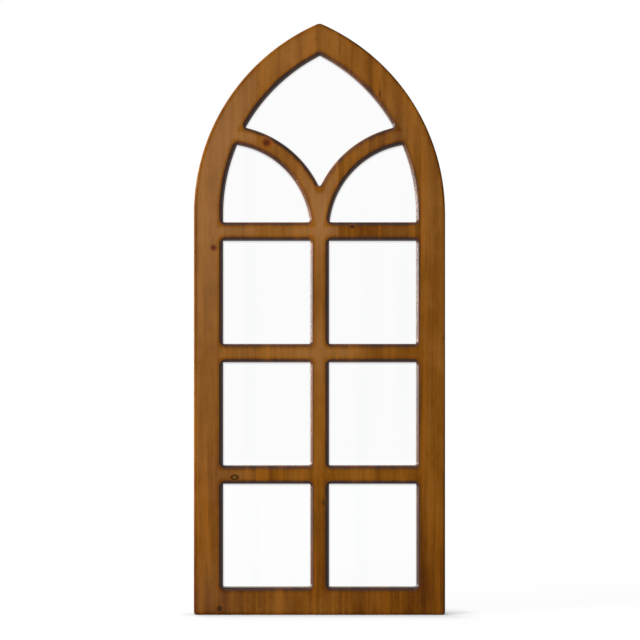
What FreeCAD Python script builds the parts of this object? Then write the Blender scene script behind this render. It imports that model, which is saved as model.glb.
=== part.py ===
"""Arched window mirror: a flat lattice frame cut from one glued-up wooden panel, over one mirror sheet.

Millimetres. X runs to the viewer's right, +Y into the wall, +Z up. The origin lies on the back face
of the frame, in the middle of its bottom edge, so the front face is at y = -wood_thick.

The panel is four boards glued edge to edge with upright grain. Nine openings are cut through it, and
their front edges are rounded over. From behind, one rebate takes the mirror sheet and its backing
board, which turn buttons hold in. Two ring hangers carry the frame, and two bumpers space it.
"""

import FreeCAD
import Part
import math
import os

# ---- the frame's outline ------------------------------------------------------------------------
frame_width = 432.0
spring_height = 690.0        # where the straight sides end and the pointed arch begins
arch_rise = 326.0            # from there to the top of the rounded point
tip_round = 12.0             # radius of the arch's outer point, seen from the front
foot_round = 5.0             # radius of the two bottom corners, seen from the front
wood_thick = 18.0
rim_roundover = 3.0          # on the outer front edge
back_bevel = 1.0             # on the outer back edge

# ---- the lattice --------------------------------------------------------------------------------
stile_width = 49.0           # the sides, and the arch band that continues them
bottom_rail = 47.0
bar_width = 31.0             # mullion, rails and curved tracery
top_rail_drop = 15.1         # the top rail's upper edge below the spring line
pane_rows = 3                # of rectangular panes, between the bottom rail and the top rail
opening_roundover = 6.0      # on the front edges of the openings
bearing_radius = 6.0         # the roundover cutter turns no tighter than this in a corner
wall_corner = 3.0            # upright corners of the openings, below the roundover

# ---- the boards ---------------------------------------------------------------------------------
board_width = 141.5
glue_line_margin = 1.0       # between the right-hand panes' rounded edge and the last glue line
curve_seam = 3.0             # the arch's right-hand curve is drawn in two parts, this far past a glue line

# ---- mirror and backing -------------------------------------------------------------------------
mirror_thick = 3.0
backing_thick = 3.0
rebate_step = 12.0           # the rebate is this much wider than the openings, all round
rebate_corner = 6.0
sheet_gap = 1.5              # between the rebate's wall and the sheets, which stand on its bottom

# ---- turn buttons -------------------------------------------------------------------------------
button_length = 30.0
button_width = 11.0
button_thick = 1.0
button_inset = 8.0           # pivot to the rebate's wall
foot_button_inset = 42.0     # the bottom buttons' pivots, inward of the outer panes' sides
rib_width = 3.0              # of the pressed rib
rib_height = 0.7
rib_corner = 1.35            # its corners, seen from behind
rib_crest = 0.55             # the roundover along its top
rib_margin = 3.0             # between the rib and the screw's head
stile_buttons = 3            # on each side
arch_button_angle = 38.0     # degrees above the spring line, about the arch's centre
turn_gap = 0.15              # a button's play below and above

# ---- screws -------------------------------------------------------------------------------------
shank_radius = 1.5
shank_length = 13.0
shank_point = 2.5
head_radius = 3.0
head_height = 1.9
head_dome = 1.2
cross_width = 0.8
cross_length = 3.4
cross_depth = 1.2
pilot_gap = 0.05             # between a shank and its hole in the wood
hole_gap = 0.15              # between a shank and the metal that it holds

# ---- ring hangers -------------------------------------------------------------------------------
hanger_drop = 20.0           # rings' pivot below the spring line
strap_width = 12.0
strap_sheet = 1.0            # the strap is this sheet, folded in two
strap_length = 27.0          # pivot to the strap's lower end
near_screw_drop = 7.5        # pivot to the screw inside the ring's sweep
far_screw_drop = 20.5        # pivot to the screw beyond it
ring_wire = 1.2              # wire radius
ring_half_width = 9.0        # wire's centre line
ring_leg = 5.0               # straight length of the D's sides, from the pivot
ring_corner = 2.2
eye_gap = 0.15               # between the wire and the strap's rolled eye
ring_rest_gap = 0.3          # between the raised ring and the wood behind it

# ---- bumpers ------------------------------------------------------------------------------------
bumper_radius = 6.0
bumper_thick = 5.0
bumper_round = 1.5

# ---- cutting and measuring ----------------------------------------------------------------------
cut_over = 5.0               # how far a cutting shape runs past what it cuts
beyond = 2000.0              # past everything
same = 1e-4                  # two places closer than this are one

# ---- worked out from the sizes above ------------------------------------------------------------
half_width = frame_width / 2
front = -wood_thick
rebate_depth = mirror_thick + backing_thick
rebate_floor = -rebate_depth
mirror_back = -backing_thick
# one arc of the arch, tangent to the rounded tip: (R - tip)^2 - (R - half_width)^2 = rise^2
tip_centre_rise = arch_rise - tip_round
arch_radius = (tip_centre_rise**2 / (half_width - tip_round) + tip_round + half_width) / 2
arch_offset = arch_radius - half_width          # each arc's centre lies this far past the middle
half_opening = half_width - stile_width
inner_radius = arch_radius - stile_width
half_bar = bar_width / 2
pane_width = half_opening - half_bar
lattice_foot = spring_height - top_rail_drop             # bottom of the quarter panes
pane_pitch = (lattice_foot - bottom_rail) / pane_rows
pane_height = pane_pitch - bar_width
tracery_z = lattice_foot - half_bar                      # the tracery is struck from the top rail
tracery_inner = pane_width
tracery_outer = pane_width + bar_width
rebate_radius = inner_radius + rebate_step
rebate_half = half_opening + rebate_step
rebate_foot = bottom_rail - rebate_step
land_x = half_width - (stile_width - rebate_step) / 2    # middle of the wood beside the rebate
button_seat = turn_gap + button_thick + turn_gap         # underside of a turn button's screw head
fold_thick = 2 * strap_sheet                             # and of a strap's
eye_radius = ring_wire + eye_gap + strap_sheet
hanger_z = spring_height - hanger_drop
ring_reach = ring_leg + ring_half_width


def at(x, z, y=0.0):
    """A point given as the front view shows it: across, up, and then its depth."""
    return FreeCAD.Vector(x, y, z)


def line(start, end):
    return Part.LineSegment(start, end).toShape()


def closed_lines(corners):
    return [line(corners[k - 1], corners[k]) for k in range(len(corners))]


def arc(centre, start, end):
    """The shorter arc from start to end about centre, all three at one depth."""
    middle = (start - centre) + (end - centre)
    middle.normalize()
    through = centre + middle * (start - centre).Length
    return Part.Arc(start, through, end).toShape()


def prism(edges, y_from, y_to):
    """The outline, drawn at y = 0, as a solid between two depths."""
    face = Part.Face(Part.Wire(edges))
    face.translate(at(0, 0, y_from))
    return face.extrude(at(0, 0, y_to - y_from))


def rod(centre, radius, length, direction):
    return Part.makeCylinder(radius, length, centre, direction)


def through_edges(solid):
    """The edges that run straight from front to back."""
    found = []
    for edge in solid.Edges:
        if len(edge.Vertexes) == 2:
            run = edge.Vertexes[1].Point - edge.Vertexes[0].Point
            if math.hypot(run.x, run.z) < same:
                found.append(edge)
    return found


def round_corners(solid, radius):
    return solid.makeFillet(radius, through_edges(solid))


def foot_corners(solid):
    return [e for e in through_edges(solid) if e.Vertexes[0].Z < spring_height - same]


def arch_point(solid):
    return [e for e in through_edges(solid) if e.Vertexes[0].Z > spring_height + same]


def face_at(solid, y):
    """The largest flat face that lies at depth y."""
    flat = [f for f in solid.Faces if f.BoundBox.YLength < same and abs(f.BoundBox.YMin - y) < same]
    return max(flat, key=lambda f: f.Area)


def on_arch(x, radius):
    """The point of the pointed arch of this radius that lies at x."""
    return at(x, spring_height + math.sqrt(radius**2 - (abs(x) + arch_offset) ** 2))


def pointed_arch(half, foot, radius, parting=()):
    """Sharp outline of a pointed arch on straight sides, struck from the frame's own arch centres.

    The right-hand curve comes in parts, which meet at each x in parting.
    """
    apex = on_arch(0, radius)
    feet = [at(-half, foot), at(half, foot)]
    left_spring = at(-half, spring_height)
    stops = [at(half, spring_height)] + [on_arch(x, radius) for x in parting] + [apex]
    right_curve = [arc(at(-arch_offset, spring_height), a, b) for a, b in zip(stops, stops[1:])]
    return [
        line(feet[0], feet[1]),
        line(feet[1], stops[0]),
        *right_curve,
        arc(at(arch_offset, spring_height), apex, left_spring),
        line(left_spring, feet[0]),
    ]


def upper_crossing(centre_a, radius_a, centre_b, radius_b):
    """The higher of the two points where circles a and b cross."""
    across = centre_b - centre_a
    apart = across.Length
    along = (apart**2 + radius_a**2 - radius_b**2) / (2 * apart)
    off = math.sqrt(radius_a**2 - along**2)
    across.normalize()
    foot = centre_a + across * along
    normal = at(-across.z, across.x)
    return max((foot + normal * off, foot - normal * off), key=lambda p: p.z)


# ---- the nine openings --------------------------------------------------------------------------
def rectangular_pane(side, row):
    inner = side * half_bar
    outer = side * half_opening
    foot = bottom_rail + row * pane_pitch
    head = foot + pane_height
    return closed_lines([at(inner, foot), at(outer, foot), at(outer, head), at(inner, head)])


def quarter_pane(side):
    """The pane under one curve of the tracery: sill, straight side, arch and tracery."""
    arch_centre = at(-side * arch_offset, spring_height)
    tracery_centre = at(side * half_opening, tracery_z)
    corner = upper_crossing(arch_centre, inner_radius, tracery_centre, tracery_inner)
    sill_in = at(side * (half_opening - math.sqrt(tracery_inner**2 - half_bar**2)), lattice_foot)
    sill_out = at(side * half_opening, lattice_foot)
    spring = at(side * half_opening, spring_height)
    return [
        line(sill_in, sill_out),
        line(sill_out, spring),
        arc(arch_centre, spring, corner),
        arc(tracery_centre, corner, sill_in),
    ]


def kite_corner(side):
    """Where the arch band's underside meets the top of one curve of the tracery."""
    arch_centre = at(-side * arch_offset, spring_height)
    tracery_centre = at(side * half_opening, tracery_z)
    return upper_crossing(arch_centre, inner_radius, tracery_centre, tracery_outer)


def kite_pane():
    """The pane between the arch and the two curves of the tracery."""
    apex = on_arch(0, inner_radius)
    fork = at(0, tracery_z + math.sqrt(tracery_outer**2 - half_opening**2))
    edges = []
    for side in (1, -1):
        upper = arc(at(-side * arch_offset, spring_height), apex, kite_corner(side))
        lower = arc(at(side * half_opening, tracery_z), kite_corner(side), fork)
        edges += [upper, lower] if side == 1 else [lower, upper]
    return edges


def opening_outlines():
    outlines = [rectangular_pane(side, row) for side in (-1, 1) for row in range(pane_rows)]
    return outlines + [quarter_pane(-1), quarter_pane(1), kite_pane()]


# ---- the wooden panel ---------------------------------------------------------------------------
def blank_panel():
    """The outer shape with rounded corners, a rounded front edge and a bevelled back edge."""
    seam = glue_lines()[1] + curve_seam
    panel = prism(pointed_arch(half_width, 0.0, arch_radius, [seam]), front, 0.0)
    panel = panel.makeFillet(tip_round, arch_point(panel))
    feet = [e for e in foot_corners(panel) if e.Vertexes[0].Z < foot_round]
    panel = panel.makeFillet(foot_round, feet)
    panel = panel.makeFillet(rim_roundover, face_at(panel, front).OuterWire.Edges)
    return panel.makeChamfer(back_bevel, face_at(panel, 0.0).OuterWire.Edges)


def cut_openings(panel):
    """Cuts the openings along the roundover cutter's path, rounds them over, and squares their corners."""
    for outline in opening_outlines():
        panel = panel.cut(round_corners(prism(outline, front - cut_over, cut_over), bearing_radius))
    face = face_at(panel, front)
    arrises = []
    for wire in face.Wires:
        if not wire.isSame(face.OuterWire):
            arrises += wire.Edges
    panel = panel.makeFillet(opening_roundover, arrises)
    for outline in opening_outlines():
        panel = panel.cut(round_corners(prism(outline, front - cut_over, cut_over), wall_corner))
    return panel


def rebate_block(shrink, corner, y_from, y_to):
    """The rebate's shape, drawn in by a gap at its sides and arch but not at its foot."""
    outline = pointed_arch(rebate_half - shrink, rebate_foot, rebate_radius - shrink)
    block = prism(outline, y_from, y_to)
    return block.makeFillet(corner, foot_corners(block) + arch_point(block))


def pilot_hole(x, z, seat_y):
    """The blind hole for a screw whose head seats at seat_y."""
    depth = shank_length - seat_y + hole_gap
    return rod(at(x, z, -depth), shank_radius + pilot_gap, depth + cut_over, at(0, 0, 1))


def panel_with_holes():
    panel = cut_openings(blank_panel())
    panel = panel.cut(rebate_block(0.0, rebate_corner, rebate_floor, cut_over))
    for x, z, _ in button_places():
        panel = panel.cut(pilot_hole(x, z, button_seat))
    for x, z in strap_screw_places():
        panel = panel.cut(pilot_hole(x, z, fold_thick))
    return panel


def glue_lines():
    """Where the boards meet, from left to right. The right-hand strip is what the last board leaves."""
    last = half_opening + opening_roundover + glue_line_margin
    return [last - 2 * board_width, last - board_width, last]


def strip(panel, x_from, x_to, z_from=-beyond, z_to=beyond):
    """What the panel has between two glue lines, and between two heights."""
    block = Part.makeBox(x_to - x_from, 2 * beyond, z_to - z_from, at(x_from, z_from, -beyond))
    solids = panel.common(block).Solids
    return solids[0] if len(solids) == 1 else Part.makeCompound(solids)


def boards():
    """The middle board is cut in two by the kite pane: the lattice below it and the arch tip above."""
    panel = panel_with_holes()
    left, middle, right = glue_lines()
    split = kite_corner(-1).z
    return {
        "left_board": strip(panel, -beyond, left),
        "middle_board": strip(panel, left, middle, -beyond, split),
        "tip_board": strip(panel, left, middle, split, beyond),
        "right_board": strip(panel, middle, right),
        "right_edge_board": strip(panel, right, beyond),
    }


# ---- the sheets in the rebate -------------------------------------------------------------------
def sheet(y_from, y_to):
    """A sheet that stands on the bottom of the rebate, with its corners clear of the rebate's own."""
    return rebate_block(sheet_gap, rebate_corner + sheet_gap, y_from, y_to)


# ---- screws -------------------------------------------------------------------------------------
def pan_screw(x, z, seat_y):
    """A pan-head screw driven from behind, with its head's underside at seat_y."""
    into = at(0, 0, -1)
    head = rod(at(x, z, seat_y), head_radius, head_height, at(0, 0, 1))
    top = face_at(head, seat_y + head_height).OuterWire.Edges
    head = head.makeFillet(head_dome, top)
    for across, up in ((cross_length, cross_width), (cross_width, cross_length)):
        corner = at(x - across / 2, z - up / 2, seat_y + head_height - cross_depth)
        head = head.cut(Part.makeBox(across, cross_depth + cut_over, up, corner))
    straight = shank_length - shank_point
    shank = rod(at(x, z, seat_y), shank_radius, straight, into)
    point = Part.makeCone(shank_radius, 0.0, shank_point, at(x, z, seat_y - straight), into)
    return head.fuse(shank).fuse(point).removeSplitter().Solids[0]


# ---- turn buttons -------------------------------------------------------------------------------
def button_places():
    """Each button's pivot, and the direction in degrees in which it lies over the backing."""
    reach = rebate_half + button_inset
    spacing = (spring_height - bottom_rail) / stile_buttons
    heights = [bottom_rail + (k + 0.5) * spacing for k in range(stile_buttons)]
    places = []
    for side, inward in ((-1, 0.0), (1, 180.0)):
        places += [(side * reach, z, inward) for z in heights]
    for side in (-1, 1):
        places.append((side * (half_opening - foot_button_inset), rebate_foot - button_inset, 90.0))
    swing = math.radians(arch_button_angle)
    radius = rebate_radius + button_inset
    for side in (-1, 1):
        x = side * (radius * math.cos(swing) - arch_offset)
        z = spring_height + radius * math.sin(swing)
        inward = -arch_button_angle if side == -1 else 180.0 + arch_button_angle
        places.append((x, z, inward))
    return places


def button_names():
    levels = ["low", "middle", "high"]
    names = [f"turn_button_{side}_{level}" for side in ("left", "right") for level in levels]
    return names + [f"turn_button_{place}_{side}" for place in ("bottom", "arch") for side in ("left", "right")]


def turn_button(x, z, direction):
    """A round-ended steel strip, pierced near one end and stiffened by a pressed rib."""
    end = button_width / 2
    reach = button_length - button_width
    outline = [
        line(at(0, -end), at(reach, -end)),
        Part.Arc(at(reach, -end), at(reach + end, 0), at(reach, end)).toShape(),
        line(at(reach, end), at(0, end)),
        Part.Arc(at(0, end), at(-end, 0), at(0, -end)).toShape(),
    ]
    plate = prism(outline, turn_gap, turn_gap + button_thick)
    hole = rod(at(0, 0, -cut_over), shank_radius + hole_gap, 2 * cut_over, at(0, 0, 1))
    button = plate.fuse(pressed_rib(head_radius + rib_margin, reach)).cut(hole).removeSplitter()
    button.rotate(at(0, 0), at(0, 0, 1), -direction)
    button.translate(at(x, z))
    return button.Solids[0]


def pressed_rib(start, end):
    """The rib's swelling, from half the plate's depth to its crest."""
    half = rib_width / 2
    top = turn_gap + button_thick + rib_height
    corners = [at(start, -half), at(end, -half), at(end, half), at(start, half)]
    rib = prism(closed_lines(corners), turn_gap + button_thick / 2, top)
    rib = round_corners(rib, min(rib_corner, 0.9 * half))
    return rib.makeFillet(min(rib_crest, 0.8 * rib_height), face_at(rib, top).OuterWire.Edges)


def turn_button_screws():
    return Part.makeCompound([pan_screw(x, z, button_seat) for x, z, _ in button_places()])


# ---- ring hangers -------------------------------------------------------------------------------
def strap_screw_places():
    drops = (near_screw_drop, far_screw_drop)
    return [(side * land_x, hanger_z - drop) for side in (-1, 1) for drop in drops]


def ring_strap(side):
    """Steel sheet rolled into an eye round the ring's wire and folded back on itself."""
    pivot = at(side * land_x - strap_width / 2, hanger_z, eye_radius)
    across = at(1, 0)
    tab = prism(rounded_tab(side * land_x, hanger_z - strap_length), 0.0, fold_thick)
    eye = rod(pivot, eye_radius, strap_width, across)
    strap = tab.fuse(eye).cut(rod(pivot, ring_wire + eye_gap, strap_width, across))
    for x, z in strap_screw_places():
        hole = rod(at(x, z, -cut_over), shank_radius + hole_gap, fold_thick + 2 * cut_over, at(0, 0, 1))
        strap = strap.cut(hole)
    return strap.removeSplitter().Solids[0]


def rounded_tab(x, foot):
    """An upright tab as wide as the strap, with a half-round lower end."""
    half = strap_width / 2
    shoulder = foot + half
    return [
        line(at(x + half, shoulder), at(x + half, hanger_z)),
        line(at(x + half, hanger_z), at(x - half, hanger_z)),
        line(at(x - half, hanger_z), at(x - half, shoulder)),
        Part.Arc(at(x - half, shoulder), at(x, foot), at(x + half, shoulder)).toShape(),
    ]


def ring_lean():
    """Degrees that the raised ring leans back, until its top lies just off the wood."""
    return math.degrees(math.asin((eye_radius - ring_wire - ring_rest_gap) / ring_reach))


def hanging_ring(side):
    """A D of round wire: a straight bar in the strap's eye, two legs and a half round."""
    bar, leg, corner = ring_half_width, ring_leg, ring_corner
    path = Part.Wire(
        [
            line(at(0, 0), at(bar - corner, 0)),
            arc(at(bar - corner, corner), at(bar - corner, 0), at(bar, corner)),
            line(at(bar, corner), at(bar, leg)),
            Part.Arc(at(bar, leg), at(0, leg + bar), at(-bar, leg)).toShape(),
            line(at(-bar, leg), at(-bar, corner)),
            arc(at(corner - bar, corner), at(-bar, corner), at(corner - bar, 0)),
            line(at(corner - bar, 0), at(0, 0)),
        ]
    )
    section = Part.Wire([Part.makeCircle(ring_wire, at(0, 0), at(1, 0))])
    ring = path.makePipeShell([section], True, True)
    ring.rotate(at(0, 0), at(1, 0), ring_lean())
    ring.translate(at(side * land_x, hanger_z, eye_radius))
    return ring


# ---- bumpers ------------------------------------------------------------------------------------
def wall_bumpers():
    """Two rubber pads on the bottom corners, as thick as the gap that the hangers leave."""
    pads = []
    for side in (-1, 1):
        pad = rod(at(side * land_x, rebate_foot / 2), bumper_radius, bumper_thick, at(0, 0, 1))
        pads.append(pad.makeFillet(bumper_round, face_at(pad, bumper_thick).OuterWire.Edges))
    return Part.makeCompound(pads)


# ---- the whole object ---------------------------------------------------------------------------
def all_pieces():
    pieces = boards()
    pieces["mirror_sheet"] = sheet(rebate_floor, mirror_back)
    pieces["backing_board"] = sheet(mirror_back, 0.0)
    for name, place in zip(button_names(), button_places()):
        pieces[name] = turn_button(*place)
    pieces["turn_button_screws"] = turn_button_screws()
    for side, word in ((-1, "left"), (1, "right")):
        pieces[f"ring_strap_{word}"] = ring_strap(side)
        pieces[f"hanging_ring_{word}"] = hanging_ring(side)
    pieces["ring_strap_screws"] = Part.makeCompound(
        [pan_screw(x, z, fold_thick) for x, z in strap_screw_places()]
    )
    pieces["wall_bumpers"] = wall_bumpers()
    return pieces


os.makedirs("parts", exist_ok=True)
for node, shape in all_pieces().items():
    shape.exportStep(f"parts/{node}.step")
    box = shape.optimalBoundingBox()
    print(
        f"{node}: {len(shape.Solids)} solid, valid {shape.isValid()}, {shape.Volume / 1000:.2f} cm3, "
        f"x {box.XMin:.1f}..{box.XMax:.1f}, y {box.YMin:.1f}..{box.YMax:.1f}, z {box.ZMin:.1f}..{box.ZMax:.1f}"
    )
print(f"arch radius {arch_radius:.2f}, rings lean {ring_lean():.2f} degrees, rebate {rebate_depth:.1f} deep")
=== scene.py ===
# %% [markdown]
# # An arched window mirror
#
# The real object is a flat wooden lattice in the shape of a pointed window, stained brown and lacquered,
# in front of one sheet of mirror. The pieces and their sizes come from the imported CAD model, and this
# script gives them their finishes, a floor, soft light and a camera.
#
# Blender works in metres. Patterns are easier to think about in millimetres, so each material turns its
# coordinates into millimetres first, and from there every number is one that a ruler could check.

import bpy
import math
import numpy as np
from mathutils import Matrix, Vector


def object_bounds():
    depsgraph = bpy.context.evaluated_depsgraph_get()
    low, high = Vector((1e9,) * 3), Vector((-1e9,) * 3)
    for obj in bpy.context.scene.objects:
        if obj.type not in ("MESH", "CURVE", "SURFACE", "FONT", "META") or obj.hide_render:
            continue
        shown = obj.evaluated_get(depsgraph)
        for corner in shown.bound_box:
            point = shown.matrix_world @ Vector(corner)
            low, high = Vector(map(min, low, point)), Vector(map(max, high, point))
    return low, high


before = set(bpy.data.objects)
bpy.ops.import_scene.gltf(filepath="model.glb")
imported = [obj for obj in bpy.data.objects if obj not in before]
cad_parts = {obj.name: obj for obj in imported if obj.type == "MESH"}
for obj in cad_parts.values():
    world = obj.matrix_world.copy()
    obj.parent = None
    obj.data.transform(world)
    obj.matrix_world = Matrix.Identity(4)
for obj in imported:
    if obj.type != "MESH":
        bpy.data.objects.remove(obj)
model_box = [[float(v) for v in corner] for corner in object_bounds()]

# %% [markdown]
# ## The camera
#
# The photograph looks at the mirror squarely from the front: both sides are upright and the rails are
# level. How far away such a camera stood shows in the openings. Their walls are 12 mm deep, and the closer
# a camera stands, the more it sees of the walls in the top and the bottom panes. Here little more than a
# millimetre shows there, so the camera stands about 3.8 m away and has a long lens.

# %% Camera
camera_distance = 3.8
view_height = 1.0993          # metres of the object's front that the picture shows from top to bottom
aim = Vector((0.0009, -0.018, 0.5067))

camera_data = bpy.data.cameras.new("camera")
camera_data.sensor_fit = "HORIZONTAL"
camera_data.angle = 2 * math.atan(view_height / 2 / camera_distance)
camera = bpy.data.objects.new("camera", camera_data)
camera.location = aim + Vector((0, -camera_distance, 0))
camera.rotation_euler = (math.radians(90), 0, 0)
bpy.context.scene.collection.objects.link(camera)
bpy.context.scene.camera = camera
bpy.context.scene.view_settings.view_transform = "Standard"
print(f"the lens sees {math.degrees(camera_data.angle):.2f} degrees")

# %% [markdown]
# ## Writing materials like sums
#
# A procedural material is a formula, and a formula drawn as nodes soon hides what it says. The small
# class below adds one node for each method and gives back its output, so a material reads like a sum.
# An input may be a number or the output of another node.


# %% A helper for node formulas
class Formula:
    """Nodes written as sums. Each method adds a node to the tree and gives back its output."""

    def __init__(self, tree):
        self.tree = tree

    def node(self, kind, **settings):
        made = self.tree.nodes.new(kind)
        for name, value in settings.items():
            setattr(made, name, value)
        return made

    def feed(self, socket, value):
        if isinstance(value, bpy.types.NodeSocket):
            self.tree.links.new(value, socket)
        else:
            socket.default_value = value

    def sum(self, operation, *values):
        made = self.node("ShaderNodeMath", operation=operation)
        for socket, value in zip(made.inputs, values):
            self.feed(socket, value)
        return made.outputs[0]

    def add(self, *values):
        total = values[0]
        for value in values[1:]:
            total = self.sum("ADD", total, value)
        return total

    def times(self, a, b):
        return self.sum("MULTIPLY", a, b)

    def less(self, a, b):
        return self.sum("SUBTRACT", a, b)

    def length(self, a, b):
        """The length of the vector (a, b)."""
        return self.sum("SQRT", self.add(self.times(a, a), self.times(b, b)))

    def step(self, value, low, high):
        """0 below low, 1 above high, and a smooth rise in between. With low above high it falls."""
        made = self.node("ShaderNodeMapRange", interpolation_type="SMOOTHSTEP", clamp=True)
        for socket, number in zip(made.inputs, (value, low, high, 0.0, 1.0)):
            self.feed(socket, number)
        return made.outputs[0]

    def point(self, x, y, z):
        made = self.node("ShaderNodeCombineXYZ")
        for socket, value in zip(made.inputs, (x, y, z)):
            self.feed(socket, value)
        return made.outputs[0]

    def noise(self, where, detail=2.0, roughness=0.5, distortion=0.0):
        """Perlin noise of one unit's grain, from about -1 to 1."""
        made = self.node("ShaderNodeTexNoise", normalize=False)
        self.feed(made.inputs["Vector"], where)
        made.inputs["Scale"].default_value = 1.0
        made.inputs["Detail"].default_value = detail
        made.inputs["Roughness"].default_value = roughness
        made.inputs["Distortion"].default_value = distortion
        return made.outputs[0]

    def mix(self, share, a, b):
        """Colour a where share is 0 and colour b where it is 1.

        A mix node has sockets for numbers and vectors too, so those for colours have high places.
        """
        made = self.node("ShaderNodeMix", data_type="RGBA", clamp_factor=True)
        self.feed(made.inputs[0], share)
        self.feed(made.inputs[6], a)
        self.feed(made.inputs[7], b)
        return made.outputs[2]

    def tones(self, value, stops):
        """A colour ramp: stops are (position, colour)."""
        made = self.node("ShaderNodeValToRGB")
        ramp = made.color_ramp
        while len(ramp.elements) < len(stops):
            ramp.elements.new(0.5)
        for element, (position, colour) in zip(ramp.elements, stops):
            element.position = position
            element.color = (*colour, 1.0)
        self.feed(made.inputs[0], value)
        return made.outputs[0]

    def place(self):
        """x, y and z of the surface point in millimetres, in the object's own coordinates."""
        coordinates = self.node("ShaderNodeTexCoord")
        scaled = self.node("ShaderNodeVectorMath", operation="SCALE")
        self.feed(scaled.inputs[0], coordinates.outputs["Object"])
        scaled.inputs["Scale"].default_value = 1000.0
        split = self.node("ShaderNodeSeparateXYZ")
        self.feed(split.inputs[0], scaled.outputs[0])
        return split.outputs[0], split.outputs[1], split.outputs[2]

    def facing(self):
        """x, y and z of the surface's direction."""
        coordinates = self.node("ShaderNodeTexCoord")
        split = self.node("ShaderNodeSeparateXYZ")
        self.feed(split.inputs[0], coordinates.outputs["Normal"])
        return split.outputs[0], split.outputs[1], split.outputs[2]

    def bump(self, height, millimetres):
        """Lets a height from 0 to 1 stand this many millimetres proud."""
        made = self.node("ShaderNodeBump")
        made.inputs["Distance"].default_value = millimetres / 1000.0
        self.feed(made.inputs["Height"], height)
        return made.outputs[0]


# %% [markdown]
# ## Giving a piece its finish
#
# Every finish here is one Principled shader. Wood, zinc, glass and rubber differ in a few things that this
# shader has as inputs: colour, roughness, whether it is a metal, and a clear coat. A piece comes from the
# CAD model with a plain material, and dressing it replaces that one. Its mesh isn't touched.


# %% Helpers for finishes
def colour(red, green, blue):
    return (red, green, blue, 1.0)


def new_material(name):
    """An empty material with one Principled shader wired to its output, and a formula for its nodes."""
    material = bpy.data.materials.new(name)
    material.use_nodes = True
    material.node_tree.nodes.clear()
    formula = Formula(material.node_tree)
    shader = formula.node("ShaderNodeBsdfPrincipled")
    output = formula.node("ShaderNodeOutputMaterial")
    formula.feed(output.inputs["Surface"], shader.outputs[0])
    return material, formula, shader


def dress(node, material):
    """Gives a CAD node one finish."""
    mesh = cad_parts[node].data
    mesh.materials.clear()
    mesh.materials.append(material)
    print(f"{node}: {material.name}, {len(mesh.polygons)} triangles")


plain = [name for name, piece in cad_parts.items() if piece.data.materials]
print(f"{len(plain)} of {len(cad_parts)} pieces come with a plain material")

# %% [markdown]
# ## How far is it to the edge?
#
# On the real frame the stain gathers near the edges: the sanded arris and the machined curves drink more
# of it, so each bar is a little darker at its sides than along its middle. To paint that, the material
# must know how far a point lies from the nearest opening and from the outer edge.
#
# A baked image could store this, but the shapes are simple enough to measure by formula. A rectangle's
# distance comes from how far the point lies past its half width and half height. An arc's distance is
# the distance to its centre less its radius. The larger of two such distances is their overlap, and the
# smaller is their union. The sizes below are the model's own, in millimetres: the outline and the depths
# are measured on the loaded pieces, a few widths are given, and the rest follows from them as on the
# drawing. Heights count from the foot, and depths from the wood's back, negative towards the front.

# %% Sizes on the front view
mirror_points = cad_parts["mirror_sheet"].data.vertices
half_frame = 1000 * model_box[1][0]
frame_height = 1000 * model_box[1][2]
front = 1000 * model_box[0][1]
glass = 1000 * min(point.co.y for point in mirror_points)
band = 49.0                   # the sides and the arch
bar = 31.0                    # the mullion, the rails and the tracery
foot_rail = 47.0
pane_height = 178.3
pane_rows = 3
spring = 690.0                # where the sides end and the arch starts
tip_round = 12.0              # the rounded point
opening_round = 6.0           # the rounded edge of each opening
rim_round = 3.0               # the rounded edge of the outline

opening_half = half_frame - band
pane_half = ((opening_half - bar / 2) / 2, pane_height / 2)
pane_centre = bar / 2 + pane_half[0]
first_pane = foot_rail + pane_half[1]
pane_pitch = pane_height + bar
lattice_foot = foot_rail + pane_rows * pane_pitch
tracery_height = lattice_foot - bar / 2
tracery_inner = 2 * pane_half[0]
tracery_outer = tracery_inner + bar
fork_height = tracery_height + math.sqrt(tracery_outer**2 - opening_half**2)
print(f"front at {front:.2f} mm, glass at {glass:.2f} mm, the tracery forks {fork_height:.2f} mm up")

# %% [markdown]
# The arch follows from the sizes above. Each of its two arcs is struck from a point on the spring line,
# past the frame's middle, and both touch the small circle of radius r that rounds the tip. So an arc's
# radius less r is the distance between its own middle and the small circle's, and Pythagoras gives how far
# past the frame's middle the arcs are struck: (rise^2 - reach^2) / (2 reach), where rise and reach are the
# height and the half width of the arch, each less r.

# %% The arch
rise = frame_height - spring - tip_round
reach = half_frame - tip_round
arch_centre = (rise**2 - reach**2) / (2 * reach)
arch_outer = half_frame + arch_centre
arch_inner = arch_outer - band
print(f"the arcs are struck {arch_centre:.2f} mm past the middle, with a radius of {arch_outer:.2f} mm")

# %% [markdown]
# The group below holds the distances, so that each material can use them as one node. The panes come in
# three rows of one size, so a point is first moved to the nearest row, and the left half is folded onto
# the right one.


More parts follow.
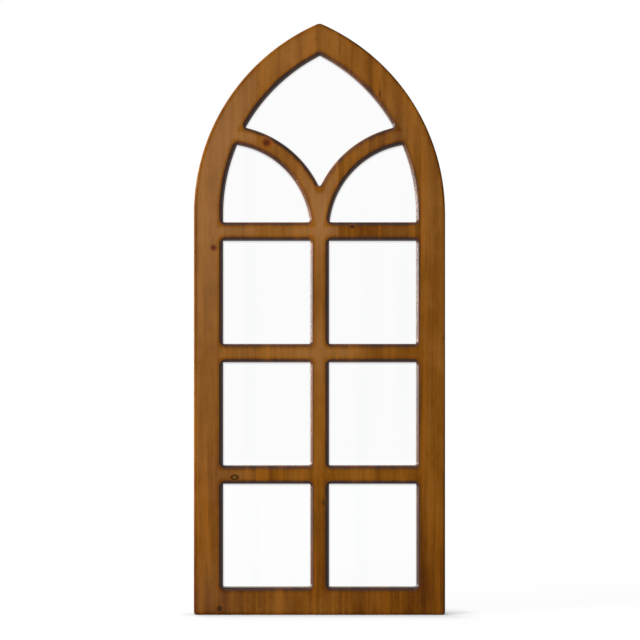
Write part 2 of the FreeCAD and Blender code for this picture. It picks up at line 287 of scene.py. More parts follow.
# %% The distances as a node group
def distance_group():
    """X and Z in millimetres give To Opening, positive in the wood, and To Rim, positive inside it."""
    group = bpy.data.node_groups.new("edge_distance", "ShaderNodeTree")
    for name, way in (("X", "INPUT"), ("Z", "INPUT"), ("To Opening", "OUTPUT"), ("To Rim", "OUTPUT")):
        group.interface.new_socket(name, in_out=way, socket_type="NodeSocketFloat")
    f = Formula(group)
    given = f.node("NodeGroupInput")
    out = f.node("NodeGroupOutput")
    side = f.sum("ABSOLUTE", given.outputs["X"])
    z = given.outputs["Z"]

    row = f.sum("ROUND", f.sum("DIVIDE", f.less(z, first_pane), pane_pitch))
    row = f.sum("MINIMUM", f.sum("MAXIMUM", row, 0.0), pane_rows - 1.0)
    level = f.less(f.less(z, first_pane), f.times(row, pane_pitch))
    past_x = f.less(f.sum("ABSOLUTE", f.less(side, pane_centre)), pane_half[0])
    past_z = f.less(f.sum("ABSOLUTE", level), pane_half[1])
    outside = f.length(f.sum("MAXIMUM", past_x, 0.0), f.sum("MAXIMUM", past_z, 0.0))
    inside = f.sum("MINIMUM", f.sum("MAXIMUM", past_x, past_z), 0.0)
    rectangle = f.add(outside, inside)

    above_spring = f.sum("MAXIMUM", f.less(z, spring), 0.0)
    from_arch = f.length(f.add(side, arch_centre), above_spring)
    from_tracery = f.length(f.less(side, opening_half), f.less(z, tracery_height))
    in_arch = f.less(from_arch, arch_inner)
    quarter = f.sum("MAXIMUM", in_arch, f.less(from_tracery, tracery_inner))
    quarter = f.sum("MAXIMUM", quarter, f.less(lattice_foot, z))
    kite = f.sum("MAXIMUM", in_arch, f.less(tracery_outer, from_tracery))
    kite = f.sum("MAXIMUM", kite, f.less(fork_height, z))
    opening = f.sum("MINIMUM", rectangle, f.sum("MINIMUM", quarter, kite))

    rim = f.sum("MINIMUM", f.less(arch_outer, from_arch), f.less(half_frame, side))
    f.feed(out.inputs["To Opening"], opening)
    f.feed(out.inputs["To Rim"], f.sum("MINIMUM", rim, z))
    return group


edge_distance = distance_group()
print(f"edge_distance: {len(edge_distance.nodes)} nodes")


def measure_edges(f, x, z):
    """Distances to the nearest opening and to the outer edge, in millimetres."""
    made = f.node("ShaderNodeGroup", node_tree=edge_distance)
    f.feed(made.inputs["X"], x)
    f.feed(made.inputs["Z"], z)
    return made.outputs["To Opening"], made.outputs["To Rim"]


# %% [markdown]
# ## Knots
#
# A knot is a branch that the trunk grew round. The year rings bulge past it on both sides, the branch
# shows its own small rings, and where it was dead its outline is dark bark or resin. A soft halo of
# redder wood lies round it, because resin went into it. The bulge is made before the rings are worked
# out: near the knot, the sideways distance from its middle is shrunk, so the lines that would have run
# through it are pushed apart. The knot's own colours are laid over the finished wood afterwards, from
# the distance to its middle in knot radii.


# %% Knots
class Knot:
    """A knot at x, z on the front, with its radius in mm.

    wide and tall stretch it, core is its middle's colour, soft its blur in radii, and ring its outline's
    strength. halo is the strength of the tint round it, reach how many radii that goes out, and streak the
    length of the fine dark check that runs up from it.
    """

    def __init__(self, x, z, radius, wide=1.0, tall=1.0, core=(0.075, 0.018, 0.005), soft=0.4, ring=0.0,
                 halo=0.6, tint=(0.20, 0.055, 0.004), reach=2.3, streak=0.0):
        self.x, self.z, self.radius, self.wide, self.tall = x, z, radius, wide, tall
        self.core, self.soft, self.ring = core, soft, ring
        self.halo, self.tint, self.reach, self.streak = halo, tint, reach, streak


def bulge_round(f, x, z, knots):
    """x shrunk towards each knot's middle: x - 0.75 dx exp(-(dx / 2.4 r)^2 - (dz / 5 r)^2)."""
    for knot in knots:
        dx = f.less(x, knot.x)
        across = f.times(dx, 1 / (2.4 * knot.radius))
        up = f.times(f.less(z, knot.z), 1 / (5.0 * knot.radius))
        squared = f.add(f.times(across, across), f.times(up, up))
        near = f.sum("EXPONENT", f.times(squared, -1.0))
        x = f.less(x, f.times(f.times(dx, near), 0.75))
    return x


def lay_knots(f, base, x, z, rough, knots):
    """Lays each knot over the wood: halo, core with its small rings, dark outline, and the check above it."""
    for knot in knots:
        dx = f.times(f.less(x, knot.x), 1 / (knot.radius * knot.wide))
        dz = f.times(f.less(z, knot.z), 1 / (knot.radius * knot.tall))
        out = f.add(f.length(dx, dz), f.times(rough, 0.16))
        halo = f.times(f.step(out, knot.reach, 0.6), knot.halo)
        base = f.mix(halo, base, colour(*knot.tint))
        rings = f.sum("SINE", f.times(out, 15.0))
        core = f.mix(f.step(rings, -1.0, 1.0), colour(*knot.core), colour(*(1.25 * c for c in knot.core)))
        base = f.mix(f.step(out, 1.0 + knot.soft, 1.0 - knot.soft), base, core)
        if knot.ring:
            outline = f.times(f.step(out, 0.35, 0.85), f.step(out, 1.5, 1.05))
            base = f.mix(f.times(outline, knot.ring), base, colour(0.020, 0.009, 0.002))
        if knot.streak:
            line = f.step(f.sum("ABSOLUTE", f.add(f.less(x, knot.x), f.times(rough, 0.8))), 1.5, 0.2)
            height = f.less(z, knot.z)
            run = f.times(f.step(height, 0.0, 3.0), f.step(height, knot.streak, knot.streak * 0.4))
            base = f.mix(f.times(f.times(line, run), 0.35), base, colour(0.045, 0.012, 0.003))
    return base


# %% [markdown]
# ## Boards
#
# A board is sawn from a trunk, and its pattern is where the year rings meet its surface. Each ring is
# nearly a cylinder round the pith, so the whole pattern follows from one number: the distance from the
# pith's line. Where the pith runs almost parallel to the board, the rings give long upright lines, and
# where it leans a little towards the face they close in pointed flames. The same distance also gives the
# curved rings on the end grain for free, which a flat picture of wood never does.
#
# Slow noise is added to the distance, because no trunk is round, and each ring is pale in spring and
# darker in late summer. Over the rings lie the finer fibres, broad upright bands where the stain took
# more or less, and soft blotches, as softwood shows them under a brown stain. A few larger patches stand
# where the real frame has them: spots that the sander went over for longer, which are paler, and spots
# that drank more stain, which are darker. A greyish painted sheen lies over the middle of the bars, most
# of all towards the top and in some of the patches, where the lacquer would catch the light.


# %% The wood's pattern
class Board:
    """Where a board was sawn: its pith line at height 0 (x, y), how it leans, and its ring width, in mm.

    tone moves its stain from dark (-) to pale (+), warmth towards orange, and haze is a painted sheen: how
    far it greys the middle of each bar, as the lacquer's gloss towards the lamp would. shift moves its
    noise, so that no two boards are alike.
    Each patch is (x, z, half width, half height, tone, haze), a soft spot where the board took less or
    more stain than the rest, and where its painted sheen is stronger or weaker.
    """

    def __init__(self, pith, lean, ring, tone=0.0, warmth=0.0, haze=0.0, shift=0.0, knots=(), patches=()):
        self.pith, self.lean, self.ring = pith, lean, ring
        self.tone, self.warmth, self.haze, self.shift = tone, warmth, haze, shift
        self.knots, self.patches = knots, patches


def add_patches(f, x, z, board):
    """The board's tone and haze, a painted sheen, plus each patch's, which fades as
    exp(-(dx / wide)^2 - (dz / tall)^2).

    The board's own painted sheen grows from nothing at the foot to its full strength at the arch.
    """
    tone, haze = board.tone, f.times(f.step(z, 60.0, 760.0), board.haze)
    for at_x, at_z, wide, tall, more_tone, more_haze in board.patches:
        across = f.times(f.less(x, at_x), 1 / wide)
        up = f.times(f.less(z, at_z), 1 / tall)
        near = f.sum("EXPONENT", f.times(f.add(f.times(across, across), f.times(up, up)), -1.0))
        tone = f.add(tone, f.times(near, more_tone))
        haze = f.add(haze, f.times(near, more_haze))
    return tone, haze


def ring_pattern(f, x, y, z, board):
    """Late wood from 0 to 1: a slow rise through each ring and a quick fall at its end.

    A ring's phase is the part after the point of: (distance from the pith's line + noise) / ring width.
    """
    slow = f.noise(f.point(f.times(x, 1 / 70), f.times(y, 1 / 70), f.add(f.times(z, 1 / 420), board.shift)))
    fine = f.noise(f.point(f.times(x, 1 / 14), f.times(y, 1 / 14), f.add(f.times(z, 1 / 130), board.shift)))
    from_x = f.less(f.less(x, board.pith[0]), f.times(z, board.lean[0]))
    from_y = f.less(f.less(y, board.pith[1]), f.times(z, board.lean[1]))
    distance = f.add(f.length(from_x, from_y), f.times(slow, 7.0), f.times(fine, 0.9))
    phase = f.sum("FRACT", f.times(distance, 1 / board.ring))
    return f.times(f.step(phase, 0.35, 0.9), f.step(phase, 1.0, 0.93))


def fibres(f, x, y, z, width, length, shift, detail=3.0):
    """Upright streaks this wide and this long, from -1 to 1."""
    where = f.point(f.add(f.times(x, 1 / width), shift), f.times(y, 1 / width), f.times(z, 1 / length))
    return f.noise(where, detail=detail, roughness=0.6)


def board_grain(f, x, y, z, board):
    """All of a board's patterns by name, broadest first. late goes from 0 to 1, the others from -1 to 1."""
    blotch_place = f.point(f.times(x, 1 / 32), f.times(y, 1 / 32), f.times(z, 1 / 55))
    mottle_place = f.point(f.times(x, 1 / 5), f.times(y, 1 / 5), f.times(z, 1 / 8))
    return {
        "bands": fibres(f, x, y, z, 21.0, 380.0, board.shift + 3.0, detail=1.0),
        "blotch": f.noise(blotch_place, detail=3.0),
        "streaks": fibres(f, x, y, z, 6.5, 150.0, board.shift),
        "mottle": f.noise(mottle_place, detail=2.0),
        "hairs": fibres(f, x, y, z, 1.1, 34.0, board.shift + 7.0),
        "late": ring_pattern(f, bulge_round(f, x, z, board.knots), y, z, board),
    }


# %% [markdown]
# ## Stain
#
# The colour is one number turned into a ramp, from the dark brown of soaked end grain to the pale brown
# of a dense, well sanded face. Everything that makes the wood darker or paler adds to that number: late
# wood is darker by itself, and the end grain and the edges drink more stain. The edges that the cutter
# rounded were never sanded, so they took by far the most, and start at a crisp line. Those that face up
# or to the left, towards the lamp, are painted a little paler, as painted light. The ramp keeps the hue
# right along the way, because a brown that gets darker also gets redder.

# %% The stained colour
stain = [
    (0.00, (0.030, 0.0080, 0.0010)),
    (0.25, (0.100, 0.0275, 0.0015)),
    (0.50, (0.178, 0.0595, 0.0030)),
    (0.75, (0.255, 0.0950, 0.0095)),
    (1.00, (0.340, 0.1430, 0.0290)),
]
plain_tone = 0.56             # the stain's place on its ramp before anything moves it
orange_stain = colour(0.268, 0.082, 0.0040)
# the greyish tan that paints the lacquer's sheen into the colour
sanding_haze = colour(0.38, 0.23, 0.125)
print(f"{len(stain)} tones of stain, from {stain[0][1]} to {stain[-1][1]}")


def stained_colour(f, x, z, facing, grain, into_face, carved, board):
    """The ramp's colour at plain tone + the grain's, patches' and edges' shares, then orange and the painted
    sheen.
    """
    face_x, _, face_z = facing
    board_tone, board_haze = add_patches(f, x, z, board)
    tone = f.add(plain_tone, board_tone, f.times(grain["bands"], 0.17), f.times(grain["blotch"], 0.10))
    tone = f.add(tone, f.times(grain["streaks"], 0.08), f.times(grain["mottle"], 0.045))
    tone = f.add(tone, f.times(grain["hairs"], 0.03), f.times(grain["late"], -0.035))

    near_foot = f.step(z, 330.0, -60.0)
    soaked = f.step(into_face, 6.0, -1.0)
    end_grain = f.times(face_z, face_z)
    tone = f.less(tone, f.add(f.times(near_foot, 0.10), f.times(soaked, 0.09), f.times(end_grain, 0.14)))
    # Painted light: carved edges that face up or to the left, towards the lamp, are made paler.
    painted_light_paler = f.add(f.times(f.step(face_z, 0.2, 0.9), 0.26), f.times(f.step(face_x, 0.0, -0.6), 0.13))
    tone = f.less(tone, f.times(carved, f.less(0.43, painted_light_paler)))

    base = f.tones(tone, stain)
    warm = f.add(f.times(grain["bands"], 0.8), f.times(grain["streaks"], 0.5), board.warmth)
    orange = f.times(f.step(warm, 0.10, 0.75), f.less(0.5, f.times(carved, 0.42)))
    base = f.mix(orange, base, orange_stain)
    # Painted sheen: away from its edges, each bar is greyed the way the lacquer's gloss would look.
    haze = f.times(f.add(board_haze, f.times(grain["blotch"], 0.03)), f.step(into_face, 0.0, 5.0))
    return f.mix(haze, base, sanding_haze)


# %% [markdown]
# ## Lacquer, and the raw back
#
# The lacquer is satin: rough enough to mirror nothing, but with a soft sheen. It fills most of the pores,
# so the bump is very low. In the rounded edges it ran together to a thicker film, which is a clear coat of
# its own here. That is what catches the light along the panes. Nobody stains the back and the rebate on
# purpose, so they show raw softwood that only a little of the stain has reached.

# %% The finished wood
raw_wood = [(0.0, (0.26, 0.135, 0.055)), (0.5, (0.42, 0.255, 0.125)), (1.0, (0.55, 0.37, 0.21))]


def board_wood(name, board):
    material, f, shader = new_material(name)
    x, y, z = f.place()
    facing = f.facing()
    to_opening, to_rim = measure_edges(f, x, z)
    into_face = f.sum("MINIMUM", f.less(to_opening, opening_round), f.less(to_rim, rim_round))
    carved = f.times(f.step(y, front + 0.001, front + 0.05), f.step(to_rim, rim_round, 2 * rim_round))
    grain = board_grain(f, x, y, z, board)
    stained = stained_colour(f, x, z, facing, grain, into_face, carved, board)
    stained = lay_knots(f, stained, x, z, f.add(grain["streaks"], grain["blotch"]), board.knots)

    back = f.step(facing[1], 0.2, 0.6)
    in_rebate = f.times(f.step(y, glass - 0.3, glass + 0.1), f.step(to_rim, 20.0, 24.0))
    bare = f.sum("MAXIMUM", back, in_rebate)
    raw_tone = f.add(0.55, f.times(grain["bands"], 0.12), f.times(grain["streaks"], 0.12))
    raw_tone = f.less(raw_tone, f.times(grain["late"], 0.28))
    f.feed(shader.inputs["Base Color"], f.mix(f.times(bare, 0.82), stained, f.tones(raw_tone, raw_wood)))

    sheen = f.add(0.42, f.times(grain["streaks"], 0.03), f.times(grain["blotch"], 0.04))
    f.feed(shader.inputs["Roughness"], f.add(sheen, f.times(bare, 0.28)))
    shader.inputs["Specular IOR Level"].default_value = 0.06
    f.feed(shader.inputs["Coat Weight"], f.times(carved, f.less(0.42, f.times(bare, 0.42))))
    shader.inputs["Coat Roughness"].default_value = 0.34
    open_pores = f.times(f.times(grain["hairs"], bare), 1.2)
    height = f.add(f.times(grain["hairs"], 0.6), f.times(grain["late"], 0.4), open_pores)
    f.feed(shader.inputs["Normal"], f.bump(height, 0.035))
    print(f"{name}: {len(f.tree.nodes)} nodes, {len(board.knots)} knots, {len(board.patches)} patches")
    return material


# %% [markdown]
# ## Five pieces from four boards
#
# The panel is glued up from four boards, and each was sawn somewhere else, so each has its own
# pith line and lean. The left one is the least orange, has the most painted sheen of its own, which
# greys it, and has the most knots. The lattice board and the arch's tip are one board that the top
# opening cut in two, and they share one finish, so that their lines run on. The knots and the patches
# stand where they stand on the real frame.

# %% Dress the boards
left = Board(
    pith=(-197.0, 42.0), lean=(0.012, 0.0095), ring=6.5, tone=0.0, warmth=-0.1, haze=0.14, shift=2.0,
    patches=[
        (-190.0, 780.0, 60.0, 200.0, 0.0, 0.06),
        (-195.0, 240.0, 40.0, 150.0, -0.13, 0.03),
        (-190.0, 20.0, 70.0, 80.0, -0.15, 0.06),
        (-150.0, 235.0, 45.0, 40.0, -0.02, 0.05),
        (-115.0, 825.0, 30.0, 30.0, 0.08, 0.0),
    ],
    knots=[
        Knot(-181.9, 630.9, 5.0, core=(0.070, 0.017, 0.008), soft=0.6, halo=0.45,
             tint=(0.21, 0.065, 0.012), streak=34.0),
        Knot(-145.5, 236.2, 5.4, wide=1.1, tall=0.75, core=(0.125, 0.060, 0.008), ring=0.85, halo=0.5),
        Knot(-172.1, 11.0, 3.7, core=(0.050, 0.018, 0.006), soft=0.3, ring=0.8, halo=0.45, reach=2.0),
        Knot(-104.0, 893.5, 5.5, wide=0.8, tall=1.7, core=(0.20, 0.060, 0.006), soft=0.9, halo=0.5,
             tint=(0.24, 0.080, 0.010)),
    ],
)
middle = Board(
    pith=(-38.0, 60.0), lean=(0.035, -0.016), ring=7.5, tone=0.03, warmth=0.1, haze=0.05, shift=11.0,
    patches=[
        (0.0, 700.0, 40.0, 90.0, 0.15, 0.18),
        (5.0, 455.0, 45.0, 60.0, 0.16, 0.11),
        (5.0, 340.0, 25.0, 60.0, 0.10, -0.02),
        (-70.0, 450.0, 45.0, 40.0, 0.06, 0.05),
        (5.0, 180.0, 30.0, 80.0, -0.09, -0.02),
        (-60.0, 950.0, 45.0, 60.0, 0.09, 0.03),
        (-60.0, 20.0, 70.0, 40.0, 0.0, 0.04),
    ],
    knots=[
        Knot(-90.9, 811.6, 7.2, core=(0.072, 0.015, 0.003), soft=0.5, halo=0.85, tint=(0.255, 0.072, 0.006)),
        Knot(9.0, 192.6, 3.8, core=(0.060, 0.026, 0.003), soft=0.7, ring=0.3, halo=0.6,
             tint=(0.11, 0.036, 0.002), reach=4.0),
        Knot(-6.0, 989.4, 1.3, core=(0.12, 0.038, 0.006), soft=0.8, halo=0.2),
    ],
)
right = Board(
    pith=(128.0, 70.0), lean=(-0.02, 0.012), ring=6.0, tone=0.0, warmth=0.05, haze=0.02, shift=23.0,
    patches=[
        (95.0, 660.0, 75.0, 30.0, -0.15, 0.0),
        (110.0, 815.0, 50.0, 60.0, -0.09, 0.05),
        (42.0, 450.0, 32.0, 40.0, 0.20, 0.13),
        (120.0, 450.0, 35.0, 40.0, -0.04, 0.01),
        (75.0, 240.0, 60.0, 35.0, 0.10, 0.0),
        (90.0, 15.0, 90.0, 50.0, -0.08, 0.0),
    ],
    knots=[
        Knot(56.3, 667.4, 2.6, wide=1.3, core=(0.035, 0.010, 0.006), soft=0.6, halo=0.6,
             tint=(0.13, 0.036, 0.003), reach=3.5),
        Knot(103.9, 895.1, 2.0, wide=0.55, tall=2.6, core=(0.055, 0.016, 0.002), soft=0.8, halo=0.5,
             tint=(0.15, 0.042, 0.003), reach=4.0),
    ],
)
right_edge = Board(
    pith=(250.0, 30.0), lean=(0.008, 0.004), ring=5.2, tone=0.0, warmth=0.0, haze=0.03, shift=31.0,
    patches=[
        (176.0, 330.0, 7.0, 260.0, -0.18, -0.02),
        (200.0, 60.0, 60.0, 110.0, -0.10, 0.0),
        (200.0, 330.0, 40.0, 120.0, 0.03, 0.0),
        (200.0, 690.0, 40.0, 90.0, 0.04, 0.03),
    ],
    knots=[Knot(212.8, 474.4, 1.3, core=(0.06, 0.020, 0.003), soft=0.7, halo=0.3)],
)

dress("left_board", board_wood("stained_wood_left", left))
middle_wood = board_wood("stained_wood_middle", middle)
dress("middle_board", middle_wood)
dress("tip_board", middle_wood)
dress("right_board", board_wood("stained_wood_right", right))
dress("right_edge_board", board_wood("stained_wood_edge", right_edge))

# %% [markdown]
# ## The mirror
#
# A mirror is clear glass with silver and a coat of paint on its back. Seen from the front it only shows
# what stands before it, so its colour is a bright, almost neutral grey on a metal with next to no
# roughness. The silver lies 3 mm behind the glass's face, so next to the wood it shows the dark edge of
# the lattice once more, as a thin line. The model's glass is one solid that mirrors at its face, so that
# line is drawn, a painted reflection: the stain's edge distance, taken at a point moved up and to the
# left, tells where it is at the top and the left of each pane. A wider, soft band there is painted a
# little darker, a painted shadow where the lattice keeps the light off. The ground edge is green, as
# window glass is, and the back shows the paint.

# %% Dress the mirror
painted_shadow_shift = (0.9, 1.9)       # how far the painted shadow band's point is moved to the left and up
line_shift = (1.05, 0.85)     # and how far the dark line's

mirror, f, shader = new_material("silvered_glass")
x, _, z = f.place()
_, face_y, _ = f.facing()
shaded, _ = measure_edges(f, f.less(x, painted_shadow_shift[0]), f.add(z, painted_shadow_shift[1]))
# Painted shadow: a soft darker band at the top and the left of each pane, where the lattice keeps the light
# off.
painted_shadow_band = f.step(shaded, -3.6, 0.6)
waves = f.noise(f.point(f.times(x, 1 / 45), 0.0, f.times(z, 1 / 900)), detail=1.0)
silver = f.mix(f.step(waves, 0.1, 0.9), colour(0.965, 0.968, 0.968), colour(0.945, 0.950, 0.952))
silver = f.mix(f.times(painted_shadow_band, 0.5), silver, colour(0.42, 0.40, 0.40))
# Painted reflection: the thin dark line of the lattice's edge, seen again in the silver.
hidden, _ = measure_edges(f, f.less(x, line_shift[0]), f.add(z, line_shift[1]))
silver = f.mix(f.step(hidden, -0.25, 0.15), silver, colour(0.055, 0.032, 0.026))
front_face = f.step(face_y, -0.4, -0.6)
back_face = f.step(face_y, 0.4, 0.6)
speckle = f.noise(f.point(f.times(x, 1 / 3), 0.0, f.times(z, 1 / 3)), detail=4.0)
paint = f.mix(f.step(speckle, -0.6, 0.6), colour(0.16, 0.155, 0.15), colour(0.20, 0.19, 0.18))
edge_green = f.mix(f.step(speckle, -0.6, 0.6), colour(0.14, 0.30, 0.24), colour(0.22, 0.42, 0.35))
body = f.mix(back_face, edge_green, paint)
f.feed(shader.inputs["Base Color"], f.mix(front_face, body, silver))
f.feed(shader.inputs["Metallic"], front_face)
f.feed(shader.inputs["Roughness"], f.mix(front_face, colour(0.35, 0.35, 0.35), colour(0.012, 0.012, 0.012)))
dress("mirror_sheet", mirror)

# %% [markdown]
# ## The backing board
#
# Hardboard is pressed from wood fibres on a wire screen, so one side carries the screen's fine weave and
# short fibres lie about in it. The weave is one sine wave across times another up, each 1.4 mm long. It
# changes the colour only a little and shows more as relief.

# %% Dress the backing board
weave_pitch = 1.4

hardboard, f, shader = new_material("hardboard")
x, y, z = f.place()
_, face_y, _ = f.facing()
across = f.sum("SINE", f.times(x, 2 * math.pi / weave_pitch))
up = f.sum("SINE", f.times(z, 2 * math.pi / weave_pitch))
weave = f.times(f.times(across, up), f.step(face_y, 0.4, 0.6))
fluff = f.noise(
    f.point(f.times(x, 1 / 2.2), f.times(y, 1 / 0.6), f.times(z, 1 / 2.2)), detail=5.0, distortion=1.2
)
cloud = f.noise(f.point(f.times(x, 1 / 90), 0.0, f.times(z, 1 / 130)), detail=3.0)
value = f.add(0.5, f.times(weave, 0.06), f.times(fluff, 0.35), f.times(cloud, 0.22))
browns = [(0.0, (0.105, 0.055, 0.026)), (0.5, (0.185, 0.105, 0.052)), (1.0, (0.27, 0.165, 0.09))]
f.feed(shader.inputs["Base Color"], f.tones(value, browns))
f.feed(shader.inputs["Roughness"], f.add(0.72, f.times(fluff, 0.08)))
shader.inputs["Specular IOR Level"].default_value = 0.3
f.feed(shader.inputs["Normal"], f.bump(f.add(weave, f.times(fluff, 0.7)), 0.08))
dress("backing_board", hardboard)

# %% [markdown]
# ## Zinc-plated fittings
#
# Turn buttons, straps, rings and screws are mild steel with a bright zinc plate. It is a soft bluish
# metal, with faint patches where the plate is thicker and fine marks from the tumbling drum. Both come
# from noise, one broad for the tint and one fine for the roughness.


# %% Dress the fittings
def zinc_plate(name, grain, tint=(0.52, 0.53, 0.55)):
    """A zinc finish. grain is how long the fine marks are along x, y and z, in millimetres."""
    material, f, shader = new_material(name)
    x, y, z = f.place()
    patches = f.noise(f.point(f.times(x, 1 / 7), f.times(y, 1 / 7), f.times(z, 1 / 7)), detail=2.0)
    marks = f.noise(
        f.point(f.times(x, 1 / grain[0]), f.times(y, 1 / grain[1]), f.times(z, 1 / grain[2])), detail=4.0
    )
    thin = colour(*(0.80 * c for c in tint))
    thickness = f.step(f.add(patches, f.times(marks, 0.15)), -0.8, 0.8)
    f.feed(shader.inputs["Base Color"], f.mix(thickness, thin, colour(*tint)))
    f.feed(shader.inputs["Roughness"], f.add(0.32, f.times(marks, 0.05), f.times(patches, 0.05)))
    shader.inputs["Metallic"].default_value = 1.0
    f.feed(shader.inputs["Normal"], f.bump(marks, 0.005))
    return material


pressed_steel = zinc_plate("zinc_pressed", (0.5, 0.5, 4.0))
wire_steel = zinc_plate("zinc_wire", (1.5, 1.5, 1.5), tint=(0.56, 0.56, 0.57))
screw_steel = zinc_plate("zinc_screw", (0.8, 0.8, 0.8), tint=(0.50, 0.50, 0.485))
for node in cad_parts:
    if node.endswith("_screws"):
        dress(node, screw_steel)
    elif node.startswith("turn_button") or node.startswith("ring_strap"):
        dress(node, pressed_steel)
    elif node.startswith("hanging_ring"):
        dress(node, wire_steel)

# %% [markdown]
# ## The bumpers
#
# Moulded black rubber is never quite black: it is a very dark grey with a dusty bloom and a fine grain.
# A coarse noise lays the bloom over the colour, and a fine one makes the grain, as roughness and relief.

# %% Dress the bumpers
rubber, f, shader = new_material("rubber")
x, y, z = f.place()
grain = f.noise(f.point(f.times(x, 1 / 0.5), f.times(y, 1 / 0.5), f.times(z, 1 / 0.5)), detail=3.0)
bloom = f.noise(f.point(f.times(x, 1 / 5), f.times(y, 1 / 5), f.times(z, 1 / 5)), detail=2.0)
dusty = f.mix(f.step(bloom, -0.8, 0.8), colour(0.018, 0.018, 0.019), colour(0.040, 0.039, 0.038))
f.feed(shader.inputs["Base Color"], dusty)
f.feed(shader.inputs["Roughness"], f.add(0.62, f.times(grain, 0.08)))
f.feed(shader.inputs["Normal"], f.bump(grain, 0.03))
dress("wall_bumpers", rubber)

# %% [markdown]
# ## The floor
#
# The floor is a plain pale sheet. Its shape is a function of two parameters, the distance from the
# object and the direction: a disc whose outer part sinks a little, so that no sharp edge shows on the
# horizon.


# %% The floor's sheet
def disc_sheet(name, radius, rings, spokes, sink):
    """Points at r = radius t, height = -sink t^4, for t from 0 to 1 and a full turn of directions."""
    t = np.linspace(0.0, 1.0, rings + 1)[1:, None]
    turn = np.linspace(0.0, 2 * np.pi, spokes, endpoint=False)[None, :]
    points = np.stack(
        [radius * t * np.cos(turn), radius * t * np.sin(turn), -sink * t**4 + 0 * turn], axis=-1
    ).reshape(-1, 3)
    points = np.vstack([[[0.0, 0.0, 0.0]], points])
    k = np.arange(spokes)
    following = (k + 1) % spokes
    centre = np.stack([0 * k, 1 + k, 1 + following], axis=-1)
    inner = (np.arange(rings - 1) * spokes)[:, None]
    outer = inner + spokes
    quads = np.stack(
        [1 + inner + k, 1 + outer + k, 1 + outer + following, 1 + inner + following], axis=-1
    ).reshape(-1, 4)
    mesh = bpy.data.meshes.new(name)
    mesh.from_pydata(points.tolist(), [], centre.tolist() + quads.tolist())
    sheet = bpy.data.objects.new(name, mesh)
    bpy.context.scene.collection.objects.link(sheet)
    print(f"{name}: {len(mesh.polygons)} faces, first normal {tuple(mesh.polygons[0].normal)}")
    return sheet


floor = disc_sheet("floor", radius=5.0, rings=24, spokes=96, sink=0.05)

# %% [markdown]
# ## A floor that goes white
#
# To the camera, and in the mirror, the floor glows as white as the world, and a part of its real shading
# is added on top, so the object's shadow stays while the rest goes white. That part is largest close by,
# and nothing far away. Right under the object the glow fades as well, by how much of the space above a
# point is blocked, so the frame stands on the floor instead of floating over it. All other rays meet a
# plain matt sheet, which lights the object from below as a real floor does.


# %% The floor's finish
def white_rays(f):
    """1 for rays from the camera, from gloss and through glass, and 0 for the rays that light things.

    A ray that has already left a matt surface lights it, also when it goes by way of the mirror, so its
    diffuse depth of 1 or more gives 0.
    """
    path = f.node("ShaderNodeLightPath")
    seen = f.sum("MAXIMUM", path.outputs["Is Camera Ray"], path.outputs["Is Glossy Ray"])
    seen = f.sum("MAXIMUM", seen, path.outputs["Is Transmission Ray"])
    return f.times(seen, f.sum("LESS_THAN", path.outputs["Diffuse Depth"], 0.5))


half_depth = -front / 2
pale = bpy.data.materials.new("pale_floor")
pale.use_nodes = True
pale.node_tree.nodes.clear()
f = Formula(pale.node_tree)
lit = f.node("ShaderNodeBsdfDiffuse")
lit.inputs["Color"].default_value = colour(0.30, 0.30, 0.29)
soft = f.node("ShaderNodeBsdfDiffuse")
x, y, _ = f.place()
# How far a point lies from the frame's foot, and how much of its real shading shows there.
past_x = f.sum("MAXIMUM", f.less(f.sum("ABSOLUTE", x), half_frame), 0.0)
past_y = f.sum("MAXIMUM", f.less(f.sum("ABSOLUTE", f.add(y, half_depth)), half_depth), 0.0)
away = f.length(past_x, past_y)
share = f.add(f.times(f.step(away, 1800.0, 300.0), 0.08), f.times(f.step(away, 80.0, 0.0), 0.45))

grey = f.node("ShaderNodeCombineColor")
for channel in grey.inputs:
    f.feed(channel, share)
f.feed(soft.inputs["Color"], grey.outputs[0])

# The glow, less where little of the space within 30 mm above is open.
open_sky = f.node("ShaderNodeAmbientOcclusion")
open_sky.inputs["Distance"].default_value = 0.03
glow = f.node("ShaderNodeEmission")
glow.inputs["Color"].default_value = colour(1.0, 1.0, 1.0)
open_part = f.add(0.1, f.times(open_sky.outputs["AO"], 0.9))
f.feed(glow.inputs["Strength"], f.times(f.less(1.02, share), open_part))

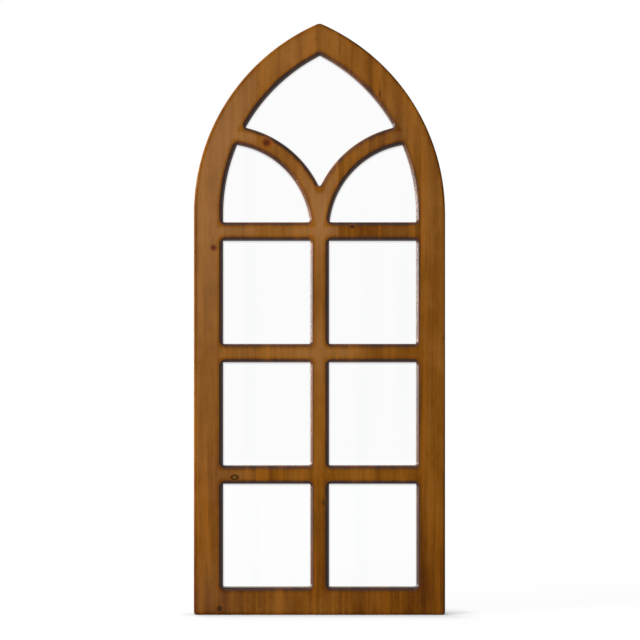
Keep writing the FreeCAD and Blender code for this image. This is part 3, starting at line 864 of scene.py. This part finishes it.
seen_floor = f.node("ShaderNodeAddShader")
f.feed(seen_floor.inputs[0], soft.outputs[0])
f.feed(seen_floor.inputs[1], glow.outputs[0])
choose = f.node("ShaderNodeMixShader")
f.feed(choose.inputs[0], white_rays(f))
f.feed(choose.inputs[1], lit.outputs[0])
f.feed(choose.inputs[2], seen_floor.outputs[0])
output = f.node("ShaderNodeOutputMaterial")
f.feed(output.inputs["Surface"], choose.outputs[0])
floor.data.materials.append(pale)
print(f"{pale.name}: {len(f.tree.nodes)} nodes")

# %% [markdown]
# ## Light
#
# The photograph's light comes from the left: the right sides of the panes glint, and their left sides
# and the undersides of the rails are dark. One large, soft lamp stands there, and a weak one in front
# keeps the face even. The world fills the shadows with a grey, and shows white to the camera and in the
# mirror. A third lamp lights the back for the views from there. It stands to the left too, because one
# at the right would draw a bright line along the arch. Together they light the front at a plain level,
# at which a colour looks about as it is written.


# %% Lamps and world
def soft_lamp(name, place, towards, size, watts):
    data = bpy.data.lights.new(name, "AREA")
    data.shape = "SQUARE"
    data.size = size
    data.energy = watts
    lamp = bpy.data.objects.new(name, data)
    lamp.location = place
    lamp.rotation_euler = (Vector(towards) - Vector(place)).to_track_quat("-Z", "Y").to_euler()
    bpy.context.scene.collection.objects.link(lamp)
    print(f"{name}: {watts} W, {size} m, {(Vector(towards) - Vector(place)).length:.2f} m away")


soft_lamp("key_lamp", place=(-3.8, -1.7, 1.05), towards=(0.0, 0.0, 0.55), size=1.5, watts=325.0)
soft_lamp("front_lamp", place=(-0.9, -3.2, 2.2), towards=(0.0, 0.0, 0.55), size=1.8, watts=24.0)
soft_lamp("back_lamp", place=(-2.0, 2.8, 0.8), towards=(0.0, 0.0, 0.5), size=1.8, watts=125.0)

world = bpy.data.worlds.new("studio")
bpy.context.scene.world = world
world.use_nodes = True
world.node_tree.nodes.clear()
f = Formula(world.node_tree)
background = f.node("ShaderNodeBackground")
f.feed(background.inputs["Color"], f.mix(white_rays(f), colour(0.16, 0.16, 0.165), colour(1.0, 1.0, 1.0)))
background.inputs["Strength"].default_value = 1.0
output = f.node("ShaderNodeOutputWorld")
f.feed(output.inputs["Surface"], background.outputs[0])
